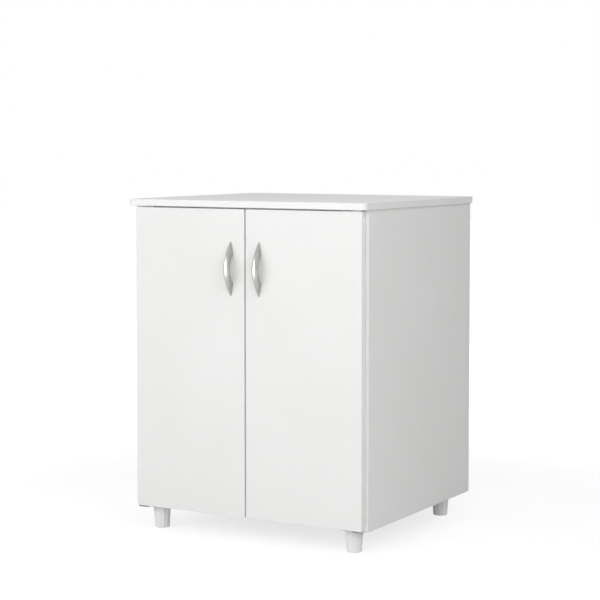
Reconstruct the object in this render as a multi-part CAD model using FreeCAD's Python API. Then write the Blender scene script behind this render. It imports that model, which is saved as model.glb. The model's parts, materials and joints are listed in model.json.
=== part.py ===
import FreeCAD, Part
import os

# A white two-door cabinet on four short fluted feet, with a board top that overhangs it.
# X runs to the right, Y to the back and Z up, in millimetres. The doors face -Y.
# The origin is on the floor, under the middle of the whole cabinet.

os.makedirs("parts", exist_ok=True)

# ---- the carcass ----
board = 15.0                    # coated particleboard
bore_floor = 3.0                # board left under a blind bore
carcass_width = 585.0           # over both side panels
carcass_depth = 515.0           # front edge of a side panel to the outer face of the back panel
side_height = 680.0
back_thickness = 3.0            # hardboard
back_margin = 1.0               # the back panel stops this far inside the outline
rail_depth = 60.0               # the two rails that lie flat under the top

# ---- the top ----
top_side_overhang = 7.5
top_front_overhang = 25.0
top_corner_radius = 8.0

# ---- the doors ----
door_reveal = 7.0               # how much of a side panel's front edge stays bare
door_back_gap = 2.0             # side panel's front edge to the door's back
door_middle_gap = 3.6

# ---- the pivot hinges ----
leaf_thickness = 1.5
leaf_running_gap = 0.2
pivot_inset = 4.5               # pin axis to the door's outer edge
pin_radius = 1.75
pin_reach = 6.0                 # how far the pin stands in the door
pin_running_gap = 0.08
pin_bore_gap = 0.5
washer_thickness = 0.6
washer_inset = 0.3              # the washer is this much smaller than the leaf's round end
cabinet_leaf_inset = 1.5        # leaf's edge to the side panel's inner face
cabinet_leaf_width = 16.0
cabinet_leaf_tail = 40.0        # how far the leaf runs back from the carcass front
door_leaf_length = 44.0
leaf_screw_radius = 1.6
leaf_screw_head = 3.2
leaf_screw_margin = 8.0         # screw to the end of its leaf

# ---- the bow handles ----
handle_length = 120.0
handle_width = 16.0
handle_reach = 23.0             # door face to the front of the bow
handle_grip = 7.5               # thickness of the bow at its middle
handle_opening = 62.0           # length of the finger gap at the door
handle_tip = 1.2                # width left at a pointed end
handle_inset = 34.0             # handle axis to the door's free edge
handle_drop = 133.0             # handle's middle below the underside of the top
handle_screw_spacing = 96.0
handle_screw_radius = 1.75
handle_screw_depth = 7.0        # how far a screw bites into the handle
handle_screw_head = 4.0
handle_screw_head_height = 2.4

# ---- the shelf ----
shelf_top = 400.0               # above the floor
shelf_end_gap = 1.0
shelf_setback = 20.0
shelf_back_gap = 2.0
peg_radius = 2.5
peg_length = 16.0
peg_depth = 8.0                 # how much of a peg is in the side panel
peg_flat = 0.5                  # depth of the flat that the shelf lies on
peg_hole_spacing = 32.0
peg_holes_each_way = 2          # spare holes above and below the one in use
peg_setback = 50.0              # peg axis to the shelf's front or back edge

# ---- the feet ----
foot_height = 50.0
foot_top_radius = 20.0
foot_bottom_radius = 16.5
foot_wall = 4.0
foot_crown = 6.0                # solid plastic under the bottom panel
foot_chamfer = 2.0
flute_count = 12
flute_radius = 6.0
flute_depth = 0.9
foot_side_inset = 46.0          # foot axis to the carcass's outer side
foot_front_inset = 25.0
foot_back_inset = 60.0
foot_screw_radius = 2.25
foot_screw_head = 4.2
foot_screw_head_height = 2.6

# ---- what joins the boards ----
fit_gap = 0.05                  # a fastener's radial gap in its bore
cam_radius = 7.4
cam_from_end = 24.0             # cam axis to the board's end
bolt_thread_radius = 2.5
bolt_radius = 3.0
bolt_neck_radius = 2.0
bolt_neck_length = 4.0
bolt_head_length = 3.0
bolt_bore_radius = 3.4
dowel_radius = 4.0
dowel_length = 30.0
dowel_depth = 10.0              # how much of a dowel is in the side panel
bottom_cam_inset = 90.0         # cam axis to the bottom panel's front or back edge
bottom_dowel_inset = 140.0
rail_cam_inset = 20.0
rail_dowel_inset = 14.0          # dowel to the rail's rear edge
top_screw_radius = 2.0
top_screw_head = 4.0
top_screw_bite = 10.0           # how far it goes into the top
top_screw_from_end = 120.0
nail_radius = 0.7
nail_head = 1.6
nail_length = 18.0
nails_up_a_side = 5
nails_along_a_rail = 3
nail_margin = 60.0

# ---- the magnetic catches ----
catch_wall = 1.6                # housing over and under the poles
catch_back = 3.8                # housing behind the poles
catch_ear = 7.0                 # housing beside the poles, where a screw goes through
catch_from_middle = 32.0        # catch's middle to the middle of the cabinet
catch_front_setback = 0.5       # housing's face behind the carcass front
magnet_margin = 1.0             # the magnet is this much narrower than the poles on each side
magnet_thickness = 5.0
pole_width = 24.0
pole_thickness = 1.2
pole_depth = 10.0
pole_proud = 1.0                # the poles stand this far out of the housing
magnet_gap = 0.2
catch_screw_radius = 1.5
catch_screw_head = 3.0
catch_screw_bite = 9.0          # how far a screw goes into the board behind
strike_margin = 1.5             # the strike plate reaches this far past the housing's mouth
strike_thickness = 1.2

# ---- the cross in a screw's head ----
drive_depth = 1.2
drive_width = 0.9

# ---- places worked out from the sizes above ----
up = FreeCAD.Vector(0, 0, 1)
down = FreeCAD.Vector(0, 0, -1)
to_right = FreeCAD.Vector(1, 0, 0)
to_front = FreeCAD.Vector(0, -1, 0)

door_reach = door_back_gap + board
front_reach = max(top_front_overhang, door_reach + handle_reach)
front_y = front_reach - (carcass_depth + front_reach) / 2
inner_x = carcass_width / 2 - board
panel_depth = carcass_depth - back_thickness
carcass_bottom = foot_height
carcass_top = foot_height + side_height
rail_bottom = carcass_top - board
door_lift = 2 * leaf_thickness + washer_thickness + leaf_running_gap
door_bottom = carcass_bottom + door_lift
door_top = carcass_top - 2 * leaf_thickness - leaf_running_gap
door_height = door_top - door_bottom
door_edge = door_reveal - board                 # door's outer edge, from the side's inner face
door_free_edge = inner_x - door_middle_gap / 2
pivot_u = door_edge + pivot_inset
pivot_v = door_back_gap + board / 2
handle_u = door_free_edge - handle_inset
handle_z = carcass_top - handle_drop
shelf_bottom = shelf_top - board
peg_z = shelf_bottom - peg_radius + peg_flat
shelf_depth = panel_depth - shelf_setback - shelf_back_gap
peg_setbacks = (shelf_setback + peg_setback, shelf_setback + shelf_depth - peg_setback)
foot_u = foot_side_inset - board
foot_setbacks = (foot_front_inset, carcass_depth - foot_back_inset)
rear_rail_start = panel_depth - rail_depth
rail_starts = (0.0, rear_rail_start)
blind_depth = board - bore_floor
cabinet_screw_setbacks = (leaf_screw_margin, cabinet_leaf_tail - leaf_screw_margin)
door_screw_steps = (2 * leaf_screw_margin, door_leaf_length - leaf_screw_margin)
pocket_width = pole_width + 2 * magnet_gap
pocket_height = magnet_thickness + 2 * pole_thickness + 2 * magnet_gap
pocket_depth = pole_depth - pole_proud + magnet_gap
catch_width = pocket_width + 2 * catch_ear
catch_height = pocket_height + 2 * catch_wall
catch_depth = pocket_depth + catch_back
catch_u = inner_x - catch_from_middle
catch_z = rail_bottom - catch_height / 2


# A point by its distance u from the left side's inner face towards the middle of the
# cabinet, its distance v in front of the carcass, and its height.
def at(u, v, z):
    return FreeCAD.Vector(u - inner_x, front_y - v, z)


def block(u_span, v_span, z_span):
    corner = at(u_span[0], v_span[1], z_span[0])
    return Part.makeBox(
        u_span[1] - u_span[0], v_span[1] - v_span[0], z_span[1] - z_span[0], corner
    )


def rod(radius, length, point, way):
    return Part.makeCylinder(radius, length, point, way)


# A solid of revolution about Z from its (radius, height) outline.
def turned(outline):
    points = [FreeCAD.Vector(radius, 0, height) for radius, height in outline]
    face = Part.Face(Part.makePolygon(points + points[:1]))
    return face.revolve(FreeCAD.Vector(0, 0, 0), up, 360)


def placed(shape, point, way):
    copy = shape.copy()
    copy.Placement = FreeCAD.Placement(point, FreeCAD.Rotation(up, way))
    return copy


def mirrored(shape):
    return shape.mirror(FreeCAD.Vector(0, 0, 0), to_right)


def both_sides(shapes):
    return shapes + [mirrored(shape) for shape in shapes]


# The cross that a screwdriver turns, cut down from the top of a head.
def cross_drive(head_radius):
    arm = head_radius * 1.1
    wide = Part.makeBox(arm, drive_width, drive_depth, FreeCAD.Vector(-arm / 2, -drive_width / 2, 0))
    tall = Part.makeBox(drive_width, arm, drive_depth, FreeCAD.Vector(-drive_width / 2, -arm / 2, 0))
    return wide.fuse(tall)


# A countersunk screw along +Z from the middle of its flat head.
def sunk_screw(radius, head_radius, length):
    outline = (
        (0, 0),
        (head_radius, 0),
        (radius, head_radius - radius),
        (radius, length - radius),
        (0, length),
    )
    return turned(outline).cut(cross_drive(head_radius))


# The bore that such a screw fills.
def sunk_bore(radius, head_radius, length):
    outline = (
        (0, 0),
        (head_radius + fit_gap, 0),
        (radius + fit_gap, head_radius - radius),
        (radius + fit_gap, length),
        (0, length + radius),
    )
    return turned(outline)


# A round-headed screw along +Z from under its head.
def round_screw(radius, head_radius, head_height, length):
    outline = (
        (0, -head_height),
        (head_radius * 0.7, -head_height),
        (head_radius, -head_height * 0.4),
        (head_radius, 0),
        (radius, 0),
        (radius, length - radius),
        (0, length),
    )
    drive = cross_drive(head_radius)
    drive.translate(FreeCAD.Vector(0, 0, -head_height))
    return turned(outline).cut(drive)


def nail_shape():
    outline = (
        (0, 0),
        (nail_head, 0),
        (nail_radius, nail_head - nail_radius),
        (nail_radius, nail_length - nail_radius),
        (0, nail_length),
    )
    return turned(outline)


def bolt_shape():
    neck_start = cam_from_end - bolt_head_length - bolt_neck_length
    outline = (
        (0, -blind_depth),
        (bolt_thread_radius, -blind_depth),
        (bolt_thread_radius, 0),
        (bolt_radius, 0),
        (bolt_radius, neck_start),
        (bolt_neck_radius, neck_start),
        (bolt_neck_radius, neck_start + bolt_neck_length),
        (bolt_radius, neck_start + bolt_neck_length),
        (bolt_radius, cam_from_end),
        (0, cam_from_end),
    )
    return turned(outline)


def bolt_bore():
    outline = (
        (0, -blind_depth),
        (bolt_thread_radius + fit_gap, -blind_depth),
        (bolt_thread_radius + fit_gap, 0),
        (bolt_bore_radius, 0),
        (bolt_bore_radius, cam_from_end + bolt_bore_radius),
        (0, cam_from_end + bolt_bore_radius),
    )
    return turned(outline)


# Where a bolt or dowel crosses from a side panel into a board: (setback, height).
def bolt_places():
    places = [
        (bottom_cam_inset, carcass_bottom + board / 2),
        (panel_depth - bottom_cam_inset, carcass_bottom + board / 2),
    ]
    for start in rail_starts:
        places.append((start + rail_cam_inset, rail_bottom + board / 2))
    return places


def dowel_places():
    places = [
        (bottom_dowel_inset, carcass_bottom + board / 2),
        (panel_depth - bottom_dowel_inset, carcass_bottom + board / 2),
    ]
    for start in rail_starts:
        places.append((start + rail_depth - rail_dowel_inset, rail_bottom + board / 2))
    return places


def cam_bolts():
    bolt = bolt_shape()
    return both_sides([placed(bolt, at(0, -back, z), to_right) for back, z in bolt_places()])


def cam_bolt_bores():
    bore = bolt_bore()
    return both_sides([placed(bore, at(0, -back, z), to_right) for back, z in bolt_places()])


def cam_locks():
    drive = cross_drive(cam_radius)
    cams = []
    for back, z in bolt_places():
        disc = rod(cam_radius, blind_depth, at(cam_from_end, -back, z - board / 2), up)
        disc = disc.cut(placed(drive, at(cam_from_end, -back, z - board / 2), up))
        cams.append(disc.cut(placed(bolt_bore(), at(0, -back, z), to_right)))
    return both_sides(cams)


def cam_lock_bores():
    bores = []
    for back, z in bolt_places():
        foot = at(cam_from_end, -back, z - board / 2)
        bores.append(rod(cam_radius + fit_gap, blind_depth + fit_gap, foot, up))
    return both_sides(bores)


def dowels():
    pegs = []
    for back, z in dowel_places():
        pegs.append(rod(dowel_radius, dowel_length, at(-dowel_depth, -back, z), to_right))
    return both_sides(pegs)


def dowel_bores():
    bores = []
    end_gap = 10 * fit_gap
    for back, z in dowel_places():
        start = at(-dowel_depth - end_gap, -back, z)
        bores.append(rod(dowel_radius + fit_gap, dowel_length + 2 * end_gap, start, to_right))
    return both_sides(bores)


def top_screw_points():
    points = []
    for start in rail_starts:
        points.append(at(top_screw_from_end, -start - rail_depth / 2, rail_bottom))
    return points


def top_screws():
    screw = sunk_screw(top_screw_radius, top_screw_head, board + top_screw_bite)
    return both_sides([placed(screw, point, up) for point in top_screw_points()])


def top_screw_bores():
    bore = sunk_bore(top_screw_radius, top_screw_head, board + top_screw_bite)
    return both_sides([placed(bore, point, up) for point in top_screw_points()])


# Nails up the back edges of the side panels, and along the bottom panel and the rear rail.
def nail_points():
    points = []
    climb = side_height - 2 * nail_margin
    for row in range(nails_up_a_side):
        z = carcass_bottom + nail_margin + climb * row / (nails_up_a_side - 1)
        points.append(at(-board / 2, -carcass_depth, z))
        points.append(at(2 * inner_x + board / 2, -carcass_depth, z))
    run = 2 * inner_x - 2 * nail_margin
    for z in (carcass_bottom + board / 2, rail_bottom + board / 2):
        for step in range(nails_along_a_rail):
            u = nail_margin + run * step / (nails_along_a_rail - 1)
            points.append(at(u, -carcass_depth, z))
    return points


def back_nails():
    nail = nail_shape()
    return [placed(nail, point, to_front) for point in nail_points()]


def nail_bores():
    bore = sunk_bore(nail_radius, nail_head, nail_length)
    return [placed(bore, point, to_front) for point in nail_points()]


def foot_points():
    points = []
    for setback in foot_setbacks:
        points.append(at(foot_u, -setback, 0))
    return points


# A hollow tapered foot with shallow flutes all round, standing on z = 0.
def foot_shape():
    ceiling = foot_height - foot_crown
    lean = (foot_top_radius - foot_bottom_radius) / foot_height
    outline = (
        (foot_bottom_radius - foot_wall, 0),
        (foot_bottom_radius - foot_chamfer, 0),
        (foot_bottom_radius, foot_chamfer),
        (foot_top_radius, foot_height),
        (foot_screw_radius + fit_gap, foot_height),
        (foot_screw_radius + fit_gap, ceiling),
        (foot_bottom_radius - foot_wall + lean * ceiling, ceiling),
    )
    body = turned(outline)
    reach = flute_radius - flute_depth
    start = FreeCAD.Vector(foot_bottom_radius + reach - lean, 0, -1)
    way = FreeCAD.Vector(lean, 0, 1)
    flute = rod(flute_radius, foot_height + 2, start, way)
    flutes = []
    for turn in range(flute_count):
        cutter = flute.copy()
        cutter.rotate(FreeCAD.Vector(0, 0, 0), up, 360 * turn / flute_count)
        flutes.append(cutter)
    return body.cut(flutes)


def foot_screw_points():
    ceiling = FreeCAD.Vector(0, 0, foot_height - foot_crown)
    return [point.add(ceiling) for point in foot_points()]


def foot_screws():
    length = foot_crown + blind_depth
    screw = round_screw(foot_screw_radius, foot_screw_head, foot_screw_head_height, length)
    return both_sides([placed(screw, point, up) for point in foot_screw_points()])


def foot_screw_bores():
    length = foot_crown + blind_depth + fit_gap
    bores = []
    for point in foot_screw_points():
        bores.append(rod(foot_screw_radius + fit_gap, length, point, up))
    return both_sides(bores)


# The plate that carries a door's pivot: a round end on the pin, and a tail screwed to the carcass.
def cabinet_leaf(z):
    span = (z, z + leaf_thickness)
    tail_end = cabinet_leaf_inset + cabinet_leaf_width
    eye = rod(pivot_inset, leaf_thickness, at(pivot_u, pivot_v, z), up)
    head = block((pivot_u, tail_end), (pivot_v - pivot_inset, pivot_v + pivot_inset), span)
    tail = block((cabinet_leaf_inset, tail_end), (-cabinet_leaf_tail, pivot_v), span)
    hole = rod(pin_radius + fit_gap, leaf_thickness, at(pivot_u, pivot_v, z), up)
    return eye.fuse([head, tail]).removeSplitter().cut(hole)


# The shallow recess in a rail or in the bottom panel that a cabinet leaf lies in.
def leaf_recess(z):
    tail_end = cabinet_leaf_inset + cabinet_leaf_width + fit_gap
    u_span = (cabinet_leaf_inset - fit_gap, tail_end)
    v_span = (-cabinet_leaf_tail - fit_gap, pivot_v)
    return block(u_span, v_span, (z, z + leaf_thickness))


# The plate on a door's top or bottom edge, which turns on the pin.
def door_leaf(z):
    eye = rod(pivot_inset, leaf_thickness, at(pivot_u, pivot_v, z), up)
    u_span = (pivot_u, pivot_u + door_leaf_length)
    v_span = (pivot_v - pivot_inset, pivot_v + pivot_inset)
    plate = block(u_span, v_span, (z, z + leaf_thickness))
    hole = rod(pin_radius + pin_running_gap, leaf_thickness, at(pivot_u, pivot_v, z), up)
    return eye.fuse(plate).removeSplitter().cut(hole)


def upper_pin():
    length = carcass_top - door_top + pin_reach
    return rod(pin_radius, length, at(pivot_u, pivot_v, carcass_top - length), up)


def lower_pin():
    return rod(pin_radius, door_lift + pin_reach, at(pivot_u, pivot_v, carcass_bottom), up)


# The pins' blind bores in a door's top and bottom edges.
def pin_bores():
    radius = pin_radius + pin_bore_gap
    depth = pin_reach + pin_bore_gap
    upper = rod(radius, depth, at(pivot_u, pivot_v, door_top), down)
    lower = rod(radius, depth, at(pivot_u, pivot_v, door_bottom), up)
    return [upper, lower]


# The washer that carries a door's weight, between the two lower leaves.
def pivot_washer():
    base = carcass_bottom + leaf_thickness
    disc = rod(pivot_inset - washer_inset, washer_thickness, at(pivot_u, pivot_v, base), up)
    hole = rod(pin_radius + fit_gap, washer_thickness, at(pivot_u, pivot_v, base), up)
    return disc.cut(hole)


def cabinet_screw_places():
    u = cabinet_leaf_inset + cabinet_leaf_width / 2
    places = []
    for setback in cabinet_screw_setbacks:
        places.append((at(u, -setback, carcass_top), down))
        places.append((at(u, -setback, carcass_bottom), up))
    return places


def door_leaf_screw_places():
    places = []
    for step in door_screw_steps:
        places.append((at(pivot_u + step, pivot_v, door_top + leaf_thickness), down))
        places.append((at(pivot_u + step, pivot_v, door_bottom - leaf_thickness), up))
    return places


def leaf_screws(places):
    screw = sunk_screw(leaf_screw_radius, leaf_screw_head, blind_depth)
    return [placed(screw, point, way) for point, way in places]


def leaf_screw_bores(places):
    bore = sunk_bore(leaf_screw_radius, leaf_screw_head, blind_depth)
    return [placed(bore, point, way) for point, way in places]


# A bow handle, pointed at both ends: a leaf shape seen from the front and an arch seen
# from the side. Its back lies on the door's face.
def handle_shape():
    half = handle_length / 2
    width = handle_width / 2
    tip = handle_tip / 2
    leaf = Part.Wire([
        Part.Arc(
            FreeCAD.Vector(tip, 0, -half), FreeCAD.Vector(width, 0, 0), FreeCAD.Vector(tip, 0, half)
        ).toShape(),
        Part.makeLine(FreeCAD.Vector(tip, 0, half), FreeCAD.Vector(-tip, 0, half)),
        Part.Arc(
            FreeCAD.Vector(-tip, 0, half), FreeCAD.Vector(-width, 0, 0), FreeCAD.Vector(-tip, 0, -half)
        ).toShape(),
        Part.makeLine(FreeCAD.Vector(-tip, 0, -half), FreeCAD.Vector(tip, 0, -half)),
    ])
    front_view = Part.Face(leaf).extrude(FreeCAD.Vector(0, -handle_reach, 0))
    arch = arch_solid(handle_length, handle_reach)
    finger_gap = arch_solid(handle_opening, handle_reach - handle_grip)
    return front_view.common(arch).cut(finger_gap)


# A flat-backed arch of the handle's width, from its chord and its height.
def arch_solid(chord, height):
    start = FreeCAD.Vector(-handle_width / 2, 0, -chord / 2)
    middle = FreeCAD.Vector(-handle_width / 2, -height, 0)
    end = FreeCAD.Vector(-handle_width / 2, 0, chord / 2)
    outline = Part.Wire([Part.Arc(start, middle, end).toShape(), Part.makeLine(end, start)])
    return Part.Face(outline).extrude(FreeCAD.Vector(handle_width, 0, 0))


def handle_screw_points():
    points = []
    for side in (-1, 1):
        points.append(at(handle_u, door_back_gap, handle_z + side * handle_screw_spacing / 2))
    return points


def left_handle():
    handle = handle_shape()
    handle.translate(at(handle_u, door_reach, handle_z))
    bores = []
    for point in handle_screw_points():
        bores.append(rod(handle_screw_radius + fit_gap, board + handle_screw_depth, point, to_front))
    return handle.cut(bores)


def left_handle_screws():
    length = board + handle_screw_depth
    screw = round_screw(handle_screw_radius, handle_screw_head, handle_screw_head_height, length)
    return [placed(screw, point, to_front) for point in handle_screw_points()]


def handle_screw_bores():
    bores = []
    for point in handle_screw_points():
        bores.append(rod(handle_screw_radius + fit_gap, board, point, to_front))
    return bores


def catch_housing():
    v_front = -catch_front_setback
    body = block(
        (catch_u - catch_width / 2, catch_u + catch_width / 2),
        (v_front - catch_depth, v_front),
        (rail_bottom - catch_height, rail_bottom),
    )
    pocket = block(
        (catch_u - pocket_width / 2, catch_u + pocket_width / 2),
        (v_front - pocket_depth, v_front),
        (catch_z - pocket_height / 2, catch_z + pocket_height / 2),
    )
    return body.cut([pocket] + catch_screw_bores())


# The magnet and the two steel poles that stick out of the housing on either side of it.
def catch_magnet():
    pole_front = pole_proud - catch_front_setback
    half = magnet_thickness / 2
    magnet_half_width = pole_width / 2 - magnet_margin
    magnet = block(
        (catch_u - magnet_half_width, catch_u + magnet_half_width),
        (pole_front - pole_depth, -catch_front_setback),
        (catch_z - half, catch_z + half),
    )
    pieces = [magnet]
    for low in (-half - pole_thickness, half):
        pieces.append(block(
            (catch_u - pole_width / 2, catch_u + pole_width / 2),
            (pole_front - pole_depth, pole_front),
            (catch_z + low, catch_z + low + pole_thickness),
        ))
    return pieces


def catch_screw_points():
    v = -catch_front_setback - catch_depth / 2
    offset = (catch_width - catch_ear) / 2
    points = []
    for side in (-1, 1):
        points.append(at(catch_u + side * offset, v, rail_bottom - catch_height))
    return points


def catch_screws():
    screw = sunk_screw(catch_screw_radius, catch_screw_head, catch_height + catch_screw_bite)
    return both_sides([placed(screw, point, up) for point in catch_screw_points()])


def catch_screw_bores():
    bore = sunk_bore(catch_screw_radius, catch_screw_head, catch_height + catch_screw_bite)
    return [placed(bore, point, up) for point in catch_screw_points()]


# The steel plate on a door's back that the catch holds.
def strike_plate():
    half_width = pocket_width / 2 + strike_margin
    half_height = pocket_height / 2 + strike_margin
    plate = block(
        (catch_u - half_width, catch_u + half_width),
        (door_back_gap - strike_thickness, door_back_gap),
        (catch_z - half_height, catch_z + half_height),
    )
    return plate.cut(strike_screw_bore())


def strike_screw_place():
    return at(catch_u, door_back_gap - strike_thickness, catch_z)


def strike_screw():
    screw = sunk_screw(catch_screw_radius, catch_screw_head, strike_thickness + catch_screw_bite)
    return placed(screw, strike_screw_place(), to_front)


def strike_screw_bore():
    bore = sunk_bore(catch_screw_radius, catch_screw_head, strike_thickness + catch_screw_bite)
    return placed(bore, strike_screw_place(), to_front)


def peg_points(z):
    return [at(-peg_depth, -setback, z) for setback in peg_setbacks]


def shelf_pegs():
    pegs = []
    for point in peg_points(peg_z):
        peg = rod(peg_radius, peg_length, point, to_right)
        flat = Part.makeBox(
            peg_length, 2 * peg_radius, peg_radius,
            point.add(FreeCAD.Vector(peg_depth, -peg_radius, peg_radius - peg_flat)),
        )
        pegs.append(peg.cut(flat))
    return both_sides(pegs)


# The rows of holes that let the shelf be moved up and down.
def peg_holes():
    holes = []
    for step in range(-peg_holes_each_way, peg_holes_each_way + 1):
        for point in peg_points(peg_z + step * peg_hole_spacing):
            holes.append(rod(peg_radius + fit_gap, peg_depth, point, to_right))
    return holes


def shelf():
    return block(
        (shelf_end_gap, 2 * inner_x - shelf_end_gap),
        (-shelf_setback - shelf_depth, -shelf_setback),
        (shelf_bottom, shelf_top),
    )


# A board with every bore that meets it cut out.
def drilled(piece, bores):
    near = [bore for bore in bores if bore.BoundBox.intersect(piece.BoundBox)]
    return piece.cut(near)


def left_side_panel(bores):
    panel = block((-board, 0), (-panel_depth, 0), (carcass_bottom, carcass_top))
    return drilled(panel, bores + peg_holes())


def bottom_panel(bores):
    panel = block((0, 2 * inner_x), (-panel_depth, 0), (carcass_bottom, carcass_bottom + board))
    recesses = both_sides([leaf_recess(carcass_bottom)])
    return drilled(panel, bores + recesses)


def top_rail(start, bores):
    rail = block((0, 2 * inner_x), (-start - rail_depth, -start), (rail_bottom, carcass_top))
    recesses = both_sides([leaf_recess(carcass_top - leaf_thickness)])
    return drilled(rail, bores + recesses)


def back_panel(bores):
    panel = block(
        (back_margin - board, 2 * inner_x + board - back_margin),
        (-carcass_depth, -panel_depth),
        (carcass_bottom + back_margin, carcass_top - back_margin),
    )
    return drilled(panel, bores)


def top_panel(bores):
    top = block(
        (-board - top_side_overhang, 2 * inner_x + board + top_side_overhang),
        (-carcass_depth, top_front_overhang),
        (carcass_top, carcass_top + board),
    )
    uprights = [edge for edge in top.Edges if abs(edge.tangentAt(edge.FirstParameter).z) > 0.9]
    return drilled(top.makeFillet(top_corner_radius, uprights), bores)


def left_door():
    door = block(
        (door_edge, door_free_edge), (door_back_gap, door_reach), (door_bottom, door_top)
    )
    bores = pin_bores() + leaf_screw_bores(door_leaf_screw_places())
    return door.cut(bores + handle_screw_bores() + [strike_screw_bore()])


def save(name, pieces):
    shape = pieces[0] if len(pieces) == 1 else Part.makeCompound(pieces)
    shape.exportStep("parts/" + name + ".step")


def save_pair(name, pieces):
    save("left_" + name, pieces)
    save("right_" + name, [mirrored(piece) for piece in pieces])


def save_carcass():
    both_catches = both_sides(catch_screw_bores())
    leaf_bores = both_sides(leaf_screw_bores(cabinet_screw_places()))
    bores = cam_bolt_bores() + cam_lock_bores() + dowel_bores() + nail_bores()
    bores = bores + top_screw_bores() + foot_screw_bores() + leaf_bores + both_catches
    save_pair("side_panel", [left_side_panel(bores)])
    save("bottom_panel", [bottom_panel(bores)])
    save("front_top_rail", [top_rail(0.0, bores)])
    save("rear_top_rail", [top_rail(rear_rail_start, bores)])
    save("back_panel", [back_panel(bores)])
    save("top_panel", [top_panel(bores)])
    save("shelf", [shelf()])
    save("shelf_pegs", shelf_pegs())
    save("cam_locks", cam_locks())
    save("cam_bolts", cam_bolts())
    save("dowels", dowels())
    save("top_screws", top_screws())
    save("back_nails", back_nails())


def save_feet():
    foot = foot_shape()
    for place, point in zip(("front", "back"), foot_points()):
        save_pair(place + "_foot", [placed(foot, point, up)])
    save("foot_screws", foot_screws())


def save_hinges():
    cabinet_bores = leaf_screw_bores(cabinet_screw_places())
    door_bores = leaf_screw_bores(door_leaf_screw_places())
    upper_z = carcass_top - leaf_thickness
    save_pair("upper_cabinet_leaf", [drilled(cabinet_leaf(upper_z), cabinet_bores)])
    save_pair("lower_cabinet_leaf", [drilled(cabinet_leaf(carcass_bottom), cabinet_bores)])
    save_pair("upper_door_leaf", [drilled(door_leaf(door_top), door_bores)])
    save_pair("lower_door_leaf", [drilled(door_leaf(door_bottom - leaf_thickness), door_bores)])
    save_pair("upper_hinge_pin", [upper_pin()])
    save_pair("lower_hinge_pin", [lower_pin()])
    save_pair("pivot_washer", [pivot_washer()])
    save("cabinet_leaf_screws", both_sides(leaf_screws(cabinet_screw_places())))
    save_pair("door_leaf_screws", leaf_screws(door_leaf_screw_places()))


def save_doors():
    save_pair("door", [left_door()])
    save_pair("handle", [left_handle()])
    save_pair("handle_screws", left_handle_screws())
    save_pair("strike_plate", [strike_plate()])
    save_pair("strike_screw", [strike_screw()])


def save_catches():
    save_pair("catch_housing", [catch_housing()])
    save_pair("catch_magnet", catch_magnet())
    save("catch_screws", catch_screws())


save_carcass()
save_feet()
save_hinges()
save_doors()
save_catches()
print("pivot axis x", round(pivot_u - inner_x, 3), "y", round(front_y - pivot_v, 3))
print("carcass front y", front_y, "door height", round(door_height, 3))
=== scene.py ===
import bmesh
import bpy
import json
import math
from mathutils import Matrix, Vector


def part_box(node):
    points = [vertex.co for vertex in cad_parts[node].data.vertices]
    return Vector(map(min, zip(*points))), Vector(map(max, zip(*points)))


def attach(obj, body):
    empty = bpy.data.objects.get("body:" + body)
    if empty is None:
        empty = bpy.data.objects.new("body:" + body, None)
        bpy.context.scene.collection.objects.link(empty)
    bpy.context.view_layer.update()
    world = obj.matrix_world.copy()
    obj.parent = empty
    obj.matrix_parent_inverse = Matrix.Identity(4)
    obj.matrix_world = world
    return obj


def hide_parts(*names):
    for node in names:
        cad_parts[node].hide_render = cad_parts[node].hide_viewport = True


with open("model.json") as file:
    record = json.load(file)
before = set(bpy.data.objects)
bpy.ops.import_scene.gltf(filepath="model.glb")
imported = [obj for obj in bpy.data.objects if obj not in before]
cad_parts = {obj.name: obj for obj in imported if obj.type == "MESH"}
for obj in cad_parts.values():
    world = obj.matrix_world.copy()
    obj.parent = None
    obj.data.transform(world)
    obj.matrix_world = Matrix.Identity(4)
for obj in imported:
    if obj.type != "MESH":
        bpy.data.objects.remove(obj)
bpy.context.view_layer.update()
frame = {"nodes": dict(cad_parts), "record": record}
bodies = {node: body
          for body, nodes in frame["record"]["behaviour"]["bodies"].items() for node in nodes}
closeEnough = 1e-6  # metres within which a corner counts as being on a line or a level


def newObject(name, bm, materials):
    mesh = bpy.data.meshes.new(name)
    bm.to_mesh(mesh)
    bm.free()
    piece = bpy.data.objects.new(name, mesh)
    bpy.context.scene.collection.objects.link(piece)
    for material in materials:
        mesh.materials.append(material)
    return piece


def standIn(piece, node):  # the piece takes the node's place and its body
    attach(piece, bodies[node])
    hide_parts(node)


def mergedCopy(node, weld=2e-6, flat=1):  # the node's loose triangles, welded and laid flat again
    bm = bmesh.new()
    bm.from_mesh(frame["nodes"][node].data)
    bmesh.ops.remove_doubles(bm, verts=bm.verts, dist=weld)
    bmesh.ops.dissolve_limit(bm, angle_limit=math.radians(flat), verts=bm.verts, edges=bm.edges)
    return bm


def easeEdges(bm, edges, offset, segments):
    bmesh.ops.bevel(bm, geom=edges, offset=offset, offset_type="OFFSET", segments=segments,
                    profile=0.5, affect="EDGES", material=-1, clamp_overlap=False)


def extrudeRing(bm, edges):  # the new ring's corners and edges, still in the old ring's place
    grown = bmesh.ops.extrude_edge_only(bm, edges=edges)["geom"]
    corners = [item for item in grown if isinstance(item, bmesh.types.BMVert)]
    return corners, [item for item in grown if isinstance(item, bmesh.types.BMEdge)]


def smoothByAngle(piece, degrees):
    for face in piece.data.polygons:
        face.use_smooth = True
    piece.data.set_sharp_from_angle(angle=math.radians(degrees))


def keepFlatsFlat(piece):  # big faces rule the normals, so only the eased edges look round
    weighted = piece.modifiers.new("flatFaces", "WEIGHTED_NORMAL")
    weighted.weight = 100
    weighted.keep_sharp = True


def newMaterial(name):
    material = bpy.data.materials.new(name)
    material.use_nodes = True
    nodes = material.node_tree.nodes
    return material, nodes["Principled BSDF"], nodes, material.node_tree.links


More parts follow.
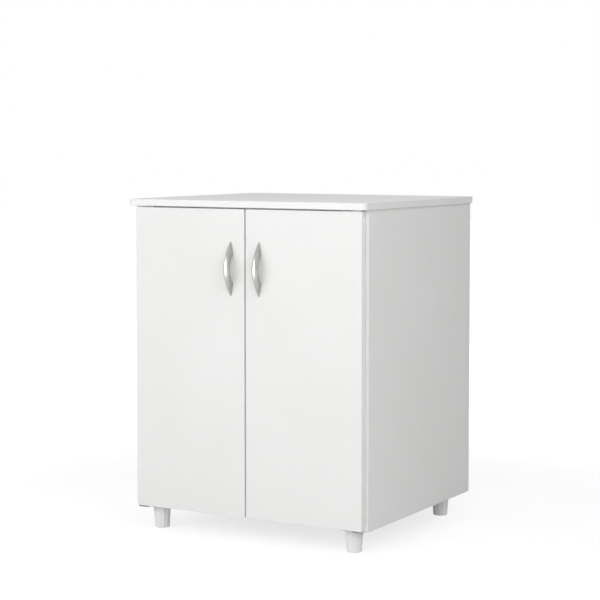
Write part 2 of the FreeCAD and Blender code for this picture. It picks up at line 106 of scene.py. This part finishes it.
def objectCoordinates(nodes, links, scale=(1, 1, 1)):
    where = nodes.new("ShaderNodeTexCoord")
    mapping = nodes.new("ShaderNodeMapping")
    mapping.inputs["Scale"].default_value = scale
    links.new(where.outputs["Object"], mapping.inputs["Vector"])
    return mapping.outputs["Vector"]


def noise(nodes, links, vector, scale, detail, roughness=0.5):
    texture = nodes.new("ShaderNodeTexNoise")
    texture.inputs["Scale"].default_value = scale
    texture.inputs["Detail"].default_value = detail
    texture.inputs["Roughness"].default_value = roughness
    links.new(vector, texture.inputs["Vector"])
    return texture.outputs["Fac"]


def between(nodes, links, value, low, high):  # a 0..1 value spread over low..high
    spread = nodes.new("ShaderNodeMapRange")
    spread.inputs["To Min"].default_value = low
    spread.inputs["To Max"].default_value = high
    links.new(value, spread.inputs["Value"])
    return spread.outputs["Result"]


def tint(nodes, links, value, shade, light, spread=(0.3, 0.7)):  # two tones blended by a 0..1 value
    ramp = nodes.new("ShaderNodeValToRGB")
    for stop, place, tone in zip(ramp.color_ramp.elements, spread, (shade, light)):
        stop.position = place
        stop.color = (*tone, 1)
    links.new(value, ramp.inputs["Fac"])
    return ramp.outputs["Color"]


def bump(nodes, links, height, strength, depth, normal=None):  # depth in metres
    node = nodes.new("ShaderNodeBump")
    node.inputs["Strength"].default_value = strength
    node.inputs["Distance"].default_value = depth
    links.new(height, node.inputs["Height"])
    if normal is not None:
        links.new(normal, node.inputs["Normal"])
    return node.outputs["Normal"]


# In the finishes below a noise is its scale, detail and roughness, a bump its strength and depth,
# and a stretch the scale along X, Y and Z, so that strokes run along the axis with the least.

def makeLaminate():
    laminate = {
        "light": (0.885, 0.885, 0.878),
        "shade": (0.862, 0.862, 0.853),
        "cloud": (5, 3),
        "smears": (14, 4, 0.6),
        "roughness": (0.5, 0.6),
        "specular": 0.3,
        "waves": (60, 1),
        "waveBump": (0.25, 0.00004),
        "pebbles": (1400, 2),  # the press plate's texture, about 0.7 mm
        "pebbleBump": (0.5, 0.00003),
    }
    material, shader, nodes, links = newMaterial("whiteLaminate")
    place = objectCoordinates(nodes, links)
    cloud = noise(nodes, links, place, *laminate["cloud"])
    links.new(tint(nodes, links, cloud, laminate["shade"], laminate["light"]),
              shader.inputs["Base Color"])
    pebbles = noise(nodes, links, place, *laminate["pebbles"])
    smears = noise(nodes, links, place, *laminate["smears"])
    links.new(between(nodes, links, smears, *laminate["roughness"]), shader.inputs["Roughness"])
    waves = noise(nodes, links, place, *laminate["waves"])
    wavy = bump(nodes, links, waves, *laminate["waveBump"])
    links.new(bump(nodes, links, pebbles, *laminate["pebbleBump"], wavy), shader.inputs["Normal"])
    shader.inputs["Specular IOR Level"].default_value = laminate["specular"]
    return material


def makeEdgeBand(name, light, shade):  # the plastic strip round a board's edges
    band = {
        "cloud": (9, 2),
        "stretch": (900, 900, 30),
        "lines": (1, 2),  # faint drawn lines of the strip
        "roughness": (0.28, 0.38),
        "lineBump": (0.2, 0.00002),
    }
    material, shader, nodes, links = newMaterial(name)
    cloud = noise(nodes, links, objectCoordinates(nodes, links), *band["cloud"])
    links.new(tint(nodes, links, cloud, shade, light), shader.inputs["Base Color"])
    lines = noise(nodes, links, objectCoordinates(nodes, links, band["stretch"]), *band["lines"])
    links.new(between(nodes, links, lines, *band["roughness"]), shader.inputs["Roughness"])
    links.new(bump(nodes, links, lines, *band["lineBump"]), shader.inputs["Normal"])
    return material


def makeHardboard():
    board = {
        "light": (0.84, 0.84, 0.825),
        "shade": (0.79, 0.79, 0.77),
        "cloud": (11, 5, 0.6),
        "fibres": (900, 3, 0.7),
        "roughness": (0.5, 0.62),
        "fibreBump": (0.5, 0.00006),
    }
    material, shader, nodes, links = newMaterial("whiteHardboard")
    place = objectCoordinates(nodes, links)
    cloud = noise(nodes, links, place, *board["cloud"])
    links.new(tint(nodes, links, cloud, board["shade"], board["light"]),
              shader.inputs["Base Color"])
    fibres = noise(nodes, links, place, *board["fibres"])
    links.new(between(nodes, links, fibres, *board["roughness"]), shader.inputs["Roughness"])
    links.new(bump(nodes, links, fibres, *board["fibreBump"]), shader.inputs["Normal"])
    return material


def makeMouldedPlastic():  # the feet and the catches' housings
    plastic = {
        "light": (0.95, 0.95, 0.94),
        "shade": (0.91, 0.91, 0.9),
        "stretch": (40, 40, 12),
        "flow": (1, 3),  # streaks of the melt
        "skin": (700, 2),
        "roughness": (0.2, 0.3),
        "skinBump": (0.3, 0.00003),
        "subsurface": 0.08,
        "subsurfaceReach": (0.004, 0.004, 0.0035),
    }
    material, shader, nodes, links = newMaterial("mouldedWhitePlastic")
    place = objectCoordinates(nodes, links)
    flow = noise(nodes, links, objectCoordinates(nodes, links, plastic["stretch"]), *plastic["flow"])
    links.new(tint(nodes, links, flow, plastic["shade"], plastic["light"]),
              shader.inputs["Base Color"])
    skin = noise(nodes, links, place, *plastic["skin"])
    links.new(between(nodes, links, skin, *plastic["roughness"]), shader.inputs["Roughness"])
    links.new(bump(nodes, links, skin, *plastic["skinBump"]), shader.inputs["Normal"])
    shader.inputs["Subsurface Weight"].default_value = plastic["subsurface"]
    shader.inputs["Subsurface Radius"].default_value = plastic["subsurfaceReach"]
    return material


metals = {
    "satinChrome": {
        "light": (0.5, 0.49, 0.475),
        "shade": (0.44, 0.43, 0.415),
        "roughness": (0.2, 0.3),
        "stretch": (900, 900, 30),
        "strokeStrength": 0.12,
    },
    "zincPlatedSteel": {
        "light": (0.68, 0.69, 0.7),
        "shade": (0.56, 0.57, 0.58),
        "roughness": (0.28, 0.42),
        "stretch": (250, 250, 250),
        "strokeStrength": 0.2,
    },
    "dullSteel": {
        "light": (0.36, 0.36, 0.365),
        "shade": (0.28, 0.28, 0.285),
        "roughness": (0.42, 0.58),
        "stretch": (250, 250, 250),
        "strokeStrength": 0.2,
    },
    "magnetSteel": {
        "light": (0.36, 0.36, 0.37),
        "shade": (0.26, 0.26, 0.27),
        "roughness": (0.4, 0.55),
        "stretch": (300, 60, 300),
        "strokeStrength": 0.3,
    },
    "castZinc": {
        "light": (0.6, 0.6, 0.61),
        "shade": (0.48, 0.48, 0.49),
        "roughness": (0.4, 0.55),
        "stretch": (200, 200, 200),
        "strokeStrength": 0.5,
    },
}
metalSurface = {
    "cloud": (60, 3),
    "strokes": (1, 3, 0.6),
    "strokeDepth": 0.00002,
}


def makeMetal(name):
    metal = metals[name]
    material, shader, nodes, links = newMaterial(name)
    shader.inputs["Metallic"].default_value = 1
    cloud = noise(nodes, links, objectCoordinates(nodes, links), *metalSurface["cloud"])
    links.new(tint(nodes, links, cloud, metal["shade"], metal["light"]),
              shader.inputs["Base Color"])
    along = objectCoordinates(nodes, links, metal["stretch"])
    strokes = noise(nodes, links, along, *metalSurface["strokes"])
    links.new(between(nodes, links, strokes, *metal["roughness"]), shader.inputs["Roughness"])
    brushed = bump(nodes, links, strokes, metal["strokeStrength"], metalSurface["strokeDepth"])
    links.new(brushed, shader.inputs["Normal"])
    return material


def makeBeech():
    beech = {
        "light": (0.74, 0.56, 0.37),
        "dark": (0.55, 0.37, 0.21),
        "spread": (0.35, 0.65),
        "stretch": (60, 900, 900),  # the grain runs along the dowels, from side to side
        "grain": (1, 4, 0.6),
        "roughness": (0.55, 0.75),
        "grainBump": (0.4, 0.00008),
    }
    material, shader, nodes, links = newMaterial("beechDowel")
    grain = noise(nodes, links, objectCoordinates(nodes, links, beech["stretch"]), *beech["grain"])
    links.new(tint(nodes, links, grain, beech["dark"], beech["light"], beech["spread"]),
              shader.inputs["Base Color"])
    links.new(between(nodes, links, grain, *beech["roughness"]), shader.inputs["Roughness"])
    links.new(bump(nodes, links, grain, *beech["grainBump"]), shader.inputs["Normal"])
    return material


def makeNylon():
    nylon = {
        "light": (0.9, 0.9, 0.86),
        "shade": (0.84, 0.83, 0.78),
        "cloud": (300, 3),
        "roughness": (0.4, 0.55),
    }
    material, shader, nodes, links = newMaterial("nylonWasher")
    cloud = noise(nodes, links, objectCoordinates(nodes, links), *nylon["cloud"])
    links.new(tint(nodes, links, cloud, nylon["shade"], nylon["light"]),
              shader.inputs["Base Color"])
    links.new(between(nodes, links, cloud, *nylon["roughness"]), shader.inputs["Roughness"])
    return material


whiteLaminate = makeLaminate()
whiteEdgeBand = makeEdgeBand("whiteEdgeBand", light=(0.9, 0.9, 0.895), shade=(0.872, 0.872, 0.865))
# the top's edges use the same white edge band painted darker: painted shade standing in for the shade
# on the top's edges
topEdgeBandPaintedShade = makeEdgeBand("topEdgeBandPaintedShade", light=(0.83, 0.83, 0.825), shade=(0.805, 0.805, 0.8))
whiteHardboard = makeHardboard()
mouldedPlastic = makeMouldedPlastic()
satinChrome = makeMetal("satinChrome")
platedSteel = makeMetal("zincPlatedSteel")
dullSteel = makeMetal("dullSteel")
magnetSteel = makeMetal("magnetSteel")
castZinc = makeMetal("castZinc")
beechDowel = makeBeech()
nylonWasher = makeNylon()
print("materials ready")


boards = {
    "easing": 0.0005,  # how far the corners are scraped round
    "easingSteps": 3,
    "bandBelow": 0.3,  # a face with less than this of its normal along the thin axis is edge band
    "smoothBelow": 75,  # degrees
}
thinAxes = {  # 0 from side to side, 1 from front to back, 2 upwards
    "bottom_panel": 2,
    "front_top_rail": 2,
    "rear_top_rail": 2,
    "shelf": 2,
    "left_side_panel": 0,
    "right_side_panel": 0,
    "left_door": 1,
    "right_door": 1,
}


def onOutline(edge, low, high):  # an edge that runs along one of the board's twelve outer edges
    ends = [vert.co for vert in edge.verts]
    touching = 0
    for axis in range(3):
        for limit in (low[axis], high[axis]):
            if all(abs(end[axis] - limit) < closeEnough for end in ends):
                touching += 1
    return touching >= 2


def finishBoard(bm, name, node, thinAxis, band):
    for face in bm.faces:
        if abs(face.normal[thinAxis]) < boards["bandBelow"]:
            face.material_index = 1
    piece = newObject(name, bm, (whiteLaminate, band))
    smoothByAngle(piece, boards["smoothBelow"])
    keepFlatsFlat(piece)
    standIn(piece, node)


def buildBoard(node, thinAxis):
    low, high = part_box(node)
    bm = mergedCopy(node)
    outline = [edge for edge in bm.edges if onOutline(edge, low, high)]
    easeEdges(bm, outline, boards["easing"], boards["easingSteps"])
    finishBoard(bm, node + "_board", node, thinAxis, whiteEdgeBand)


for node, thinAxis in thinAxes.items():
    buildBoard(node, thinAxis)
print("boards ready")


def buildTop():
    top = {
        "rim": 0.0012,  # rounding of the upper and lower rim
        "rimSteps": 4,
        "rimTurn": 1,  # radians that the faces beside a rim turn by at least
        "margin": 0.009,  # the rims stay this near the outline, also round the 8 mm corners
        "thinAxis": 2,
    }
    low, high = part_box("top_panel")
    bm = mergedCopy("top_panel")
    rims = []
    for edge in bm.edges:
        heights = [vert.co.z for vert in edge.verts]
        level = max(heights) - min(heights) < closeEnough
        rim = min(abs(heights[0] - low[2]), abs(heights[0] - high[2])) < closeEnough
        if level and rim and len(edge.link_faces) == 2 and edge.calc_face_angle(0) > top["rimTurn"]:
            middle = (edge.verts[0].co + edge.verts[1].co) / 2
            inset = min(middle.x - low[0], high[0] - middle.x, middle.y - low[1], high[1] - middle.y)
            if inset < top["margin"]:
                rims.append(edge)
    easeEdges(bm, rims, top["rim"], top["rimSteps"])
    # the top's edge band is the white band painted darker, painted shade on its edges
    finishBoard(bm, "top_board", "top_panel", top["thinAxis"], topEdgeBandPaintedShade)


buildTop()
print("top ready")


def buildFoot(node):
    foot = {
        "segments": 96,
        "flutes": 12,
        "fluteDepth": 0.0009,
        "fluteWidth": 0.0066,
        "bottomRadius": 0.0165,
        "topRadius": 0.0200,
        "wall": 0.0040,
        "crown": 0.0060,
        "toe": 0.0020,  # rounding at the floor
        "toeSteps": 4,
        "legSteps": 6,
        "screwHole": 0.0023,
        "smoothBelow": 40,  # degrees
    }
    low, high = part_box(node)
    middle = Vector(((low[0] + high[0]) / 2, (low[1] + high[1]) / 2, low[2]))
    height = high[2] - low[2]
    lean = (foot["topRadius"] - foot["bottomRadius"]) / height

    def outerRadius(z, turn):  # the cone less its flutes
        radius = foot["bottomRadius"] + lean * z
        pitch = 2 * math.pi / foot["flutes"]
        aside = ((turn + pitch / 2) % pitch - pitch / 2) * radius / (foot["fluteWidth"] / 2)
        return radius - foot["fluteDepth"] * max(0, 1 - aside * aside)

    toe = foot["toe"]
    innerBottom = foot["bottomRadius"] - foot["wall"]
    ceiling = height - foot["crown"]
    profile = []  # (height, radius or None for the fluted outside, how far it is drawn in)
    for step in range(foot["toeSteps"] + 1):
        angle = math.radians(90 * step / foot["toeSteps"])
        profile.append((toe - toe * math.cos(angle), None, toe - toe * math.sin(angle)))
    for step in range(1, foot["legSteps"] + 1):
        profile.append((toe + (height - toe) * step / foot["legSteps"], None, 0))
    profile.append((height, foot["screwHole"], 0))
    profile.append((ceiling, foot["screwHole"], 0))
    profile.append((ceiling, innerBottom + lean * ceiling, 0))
    profile.append((0, innerBottom, 0))

    bm = bmesh.new()
    ring = bmesh.ops.create_circle(bm, segments=foot["segments"], radius=foot["bottomRadius"])["verts"]
    edges = bm.edges[:]
    for count, (z, radius, drawn) in enumerate(profile):
        if count:
            ring, edges = extrudeRing(bm, edges)
        for vert in ring:
            turn = math.atan2(vert.co.y, vert.co.x)
            reach = (outerRadius(z, turn) - drawn) if radius is None else radius
            vert.co = Vector((reach * math.cos(turn), reach * math.sin(turn), z))
    closing = [edge for edge in bm.edges if edge.is_boundary]
    bmesh.ops.bridge_loops(bm, edges=closing)
    bmesh.ops.translate(bm, verts=bm.verts, vec=middle)
    bmesh.ops.recalc_face_normals(bm, faces=bm.faces)
    piece = newObject(node + "_fluted", bm, (mouldedPlastic,))
    smoothByAngle(piece, foot["smoothBelow"])
    standIn(piece, node)


for node in ("left_front_foot", "right_front_foot", "left_back_foot", "right_back_foot"):
    buildFoot(node)
print("feet ready")


def buildHandle(node):
    handle = {
        "length": 0.120,
        "width": 0.016,
        "reach": 0.023,
        "grip": 0.0075,
        "opening": 0.062,
        "tip": 0.0006,
        "edge": 0.0004,  # rounding of the edges on the door's side
        "stations": 60,
        "around": 32,
        "frontWidening": 0.85,  # powers of an ellipse: the further under 1, the fuller the section
        "frontDoming": 0.8,
        "backSquaring": 0.4,
        "smoothBelow": 50,  # degrees
    }
    low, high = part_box(node)
    middleX = (low[0] + high[0]) / 2
    middleZ = (low[2] + high[2]) / 2
    doorFace = high[1]
    half = handle["length"] / 2
    openingEnd = handle["opening"] / 2

    def arch(z, chord, height):  # how far a flat-backed arch stands out at z
        radius = (chord * chord / 4 + height * height) / (2 * height)
        return math.sqrt(max(0, radius * radius - z * z)) - (radius - height)

    def section(z):  # front, back and half width of the bow at z
        front = max(handle["tip"], arch(z, handle["length"], handle["reach"]))
        back = 0
        if abs(z) < openingEnd:
            back = max(0, arch(z, handle["opening"], handle["reach"] - handle["grip"]))
        side = arch(z, handle["length"], handle["width"] / 2 - handle["tip"]) + handle["tip"]
        return front, back, side

    bm = bmesh.new()
    bmesh.ops.create_circle(bm, segments=handle["around"], radius=1)
    ring = bm.verts[:]
    turns = [math.atan2(vert.co.y, vert.co.x) for vert in ring]
    edges = bm.edges[:]
    heights = [half * math.sin(math.pi / 2 * (2 * step / handle["stations"] - 1))
               for step in range(handle["stations"] + 1)]
    for count, z in enumerate(sorted(heights + [openingEnd, -openingEnd])):
        if count:
            above, edges = extrudeRing(bm, edges)
            ring = [min(above, key=lambda new, old=old: (new.co - old.co).length_squared)
                    for old in ring]  # in the order of turns again
        front, back, side = section(z)
        for vert, turn in zip(ring, turns):
            across, out = math.cos(turn), -math.sin(turn)
            if out > 0:  # the domed front
                x = math.copysign(abs(across) ** handle["frontWidening"], across) * side
                dome = out ** handle["frontDoming"]
                y = doorFace - back - handle["edge"] - dome * (front - back - handle["edge"])
            else:  # the flat back
                x = math.copysign(abs(across) ** handle["backSquaring"], across) * side
                y = doorFace - back - handle["edge"] * (1 - abs(out) ** handle["backSquaring"])
            vert.co = Vector((middleX + x, y, middleZ + z))
    for end in (-1, 1):
        rim = [edge for edge in bm.edges
               if edge.is_boundary and (edge.verts[0].co.z - middleZ) * end > 0]
        bmesh.ops.holes_fill(bm, edges=rim, sides=0)
    bmesh.ops.recalc_face_normals(bm, faces=bm.faces)
    piece = newObject(node + "_bow", bm, (satinChrome,))
    smoothByAngle(piece, handle["smoothBelow"])
    standIn(piece, node)


for node in ("left_handle", "right_handle"):
    buildHandle(node)
print("handles ready")


fittings = {  # the end of a node's name, its finish and the easing of its edges
    "_hinge_pin": (platedSteel, 0.0001),
    "_cabinet_leaf": (dullSteel, 0.0001),
    "_door_leaf": (dullSteel, 0.0001),
    "_strike_plate": (platedSteel, 0.0001),
    "_strike_screw": (platedSteel, 0.00005),
    "_screws": (platedSteel, 0.00005),
    "_catch_housing": (mouldedPlastic, 0.0003),
    "_catch_magnet": (magnetSteel, 0.0001),
    "_pivot_washer": (nylonWasher, 0.0001),
    "shelf_pegs": (platedSteel, 0.0001),
    "back_nails": (platedSteel, 0.00005),
    "cam_bolts": (platedSteel, 0.0001),
    "cam_locks": (castZinc, 0.0001),
    "dowels": (beechDowel, 0.0002),
    "back_panel": (whiteHardboard, 0.0001),
}
fittingEdges = {
    "easingSteps": 2,
    "easedAbove": 50,  # degrees
    "smoothBelow": 60,
}


def dressFitting(node, material, easing):
    piece = newObject(node + "_fitting", mergedCopy(node), (material,))
    soften = piece.modifiers.new("easedEdges", "BEVEL")
    soften.width = easing
    soften.segments = fittingEdges["easingSteps"]
    soften.limit_method = "ANGLE"
    soften.angle_limit = math.radians(fittingEdges["easedAbove"])
    smoothByAngle(piece, fittingEdges["smoothBelow"])
    keepFlatsFlat(piece)
    standIn(piece, node)


for node in sorted(frame["nodes"]):
    for ending, (material, easing) in fittings.items():
        if node.endswith(ending):
            dressFitting(node, material, easing)
            break
print("fittings ready")


white = (1, 1, 1, 1)


def seenDirectly(nodes, links):  # 1 for what the camera, a shiny surface or glass sees, else 0
    path = nodes.new("ShaderNodeLightPath")
    shiny = nodes.new("ShaderNodeMath")
    shiny.operation = "MAXIMUM"
    links.new(path.outputs["Is Glossy Ray"], shiny.inputs[0])
    links.new(path.outputs["Is Transmission Ray"], shiny.inputs[1])
    either = nodes.new("ShaderNodeMath")
    either.operation = "MAXIMUM"
    links.new(path.outputs["Is Camera Ray"], either.inputs[0])
    links.new(shiny.outputs[0], either.inputs[1])
    return either.outputs[0]


def buildStage():
    stage = {
        "size": 30,
        "colour": (0.8, 0.4),  # as it lights the cabinet, as it is seen
        "roughness": 0.9,
        "glow": (0.72, 1),  # near and far: whitens what is seen of the floor, the shadow stays
        "reach": (0.7, 2.0),  # metres from the middle
    }
    bm = bmesh.new()
    bmesh.ops.create_grid(bm, x_segments=1, y_segments=1, size=stage["size"] / 2)
    material, shader, nodes, links = newMaterial("paleFloor")
    seen = seenDirectly(nodes, links)
    links.new(between(nodes, links, seen, *stage["colour"]), shader.inputs["Base Color"])
    shader.inputs["Roughness"].default_value = stage["roughness"]
    shader.inputs["Specular IOR Level"].default_value = 0
    distance = nodes.new("ShaderNodeVectorMath")
    distance.operation = "LENGTH"
    links.new(objectCoordinates(nodes, links), distance.inputs[0])
    rise = nodes.new("ShaderNodeMapRange")
    rise.interpolation_type = "SMOOTHSTEP"
    rise.inputs["From Min"].default_value = stage["reach"][0]
    rise.inputs["From Max"].default_value = stage["reach"][1]
    rise.inputs["To Min"].default_value = stage["glow"][0]
    rise.inputs["To Max"].default_value = stage["glow"][1]
    links.new(distance.outputs["Value"], rise.inputs["Value"])
    strength = nodes.new("ShaderNodeMath")
    strength.operation = "MULTIPLY"
    links.new(seen, strength.inputs[0])
    links.new(rise.outputs["Result"], strength.inputs[1])
    glow = nodes.new("ShaderNodeEmission")
    links.new(strength.outputs[0], glow.inputs["Strength"])
    both = nodes.new("ShaderNodeAddShader")
    links.new(shader.outputs[0], both.inputs[0])
    links.new(glow.outputs[0], both.inputs[1])
    links.new(both.outputs[0], nodes["Material Output"].inputs["Surface"])
    floor = newObject("floor", bm, (material,))


def buildWorld():
    sky = {
        "ambient": 0.18,  # what lights the cabinet from all round
        "backdrop": 1,  # what is seen behind it and in its metal
    }
    world = bpy.data.worlds.new("studio")
    bpy.context.scene.world = world
    world.use_nodes = True
    nodes = world.node_tree.nodes
    links = world.node_tree.links
    ambient = nodes["Background"]
    ambient.inputs["Color"].default_value = white
    ambient.inputs["Strength"].default_value = sky["ambient"]
    backdrop = nodes.new("ShaderNodeBackground")
    backdrop.inputs["Color"].default_value = white
    backdrop.inputs["Strength"].default_value = sky["backdrop"]
    mix = nodes.new("ShaderNodeMixShader")
    links.new(seenDirectly(nodes, links), mix.inputs[0])
    links.new(ambient.outputs[0], mix.inputs[1])
    links.new(backdrop.outputs[0], mix.inputs[2])
    links.new(mix.outputs[0], nodes["World Output"].inputs["Surface"])


softboxes = {  # place, aim, width, height, watts, lights dull surfaces, shows in shiny ones
    "keyBox": ((-1.6, -2.7, 1.6), (0, -0.25, 0.55), 2.6, 1.3, 34, True, False),
    "glintCard": ((-0.85, -1.8, 0.66), (0, -0.27, 0.6), 1.3, 1.3, 16, False, True),
    "fillBox": ((0.8, -3.2, 1.4), (0, -0.25, 0.5), 2.2, 1.4, 21.5, True, False),
    "rightBox": ((1.9, -1.3, 1.6), (0.29, -0.1, 0.6), 1.5, 1.5, 22, True, False),
    "backBox": ((0.3, 3.2, 1.4), (0, 0.25, 0.4), 2, 1.5, 25, True, False),
    "leftBox": ((-3.1, 0.5, 1.2), (-0.3, 0, 0.4), 1.6, 1.5, 16, True, True),
    "topBox": ((0, 0, 2.6), (0, 0.01, 0), 1.6, 1.6, 7, True, True),
}


def hangSoftbox(name, place, aim, width, height, watts, lightsDull, showsInShiny):
    lamp = bpy.data.lights.new(name, "AREA")
    lamp.shape = "RECTANGLE"
    lamp.size = width
    lamp.size_y = height
    lamp.energy = watts
    box = bpy.data.objects.new(name, lamp)
    box.location = place
    box.rotation_euler = (Vector(aim) - Vector(place)).to_track_quat("-Z", "Y").to_euler()
    box.visible_camera = False
    box.visible_diffuse = lightsDull
    box.visible_glossy = showsInShiny
    bpy.context.scene.collection.objects.link(box)


def buildCamera():
    view = {
        "place": (1.97379, -3.47134, 0.8693),
        "turn": 29.723,  # degrees to the left of straight ahead
        "dip": 3.562,  # degrees below level
        "sensor": 36,
        "lens": 105.05,
        "shift": -0.08,
    }
    data = bpy.data.cameras.new("camera")
    data.sensor_width = view["sensor"]
    data.lens = view["lens"]
    data.shift_y = view["shift"]
    camera = bpy.data.objects.new("camera", data)
    camera.location = view["place"]
    camera.rotation_euler = (math.radians(90 - view["dip"]), 0, math.radians(view["turn"]))
    bpy.context.scene.collection.objects.link(camera)
    bpy.context.scene.camera = camera


buildStage()
buildWorld()
for name, settings in softboxes.items():
    hangSoftbox(name, *settings)
buildCamera()
bpy.context.scene.view_settings.view_transform = "Standard"
print("stage ready")
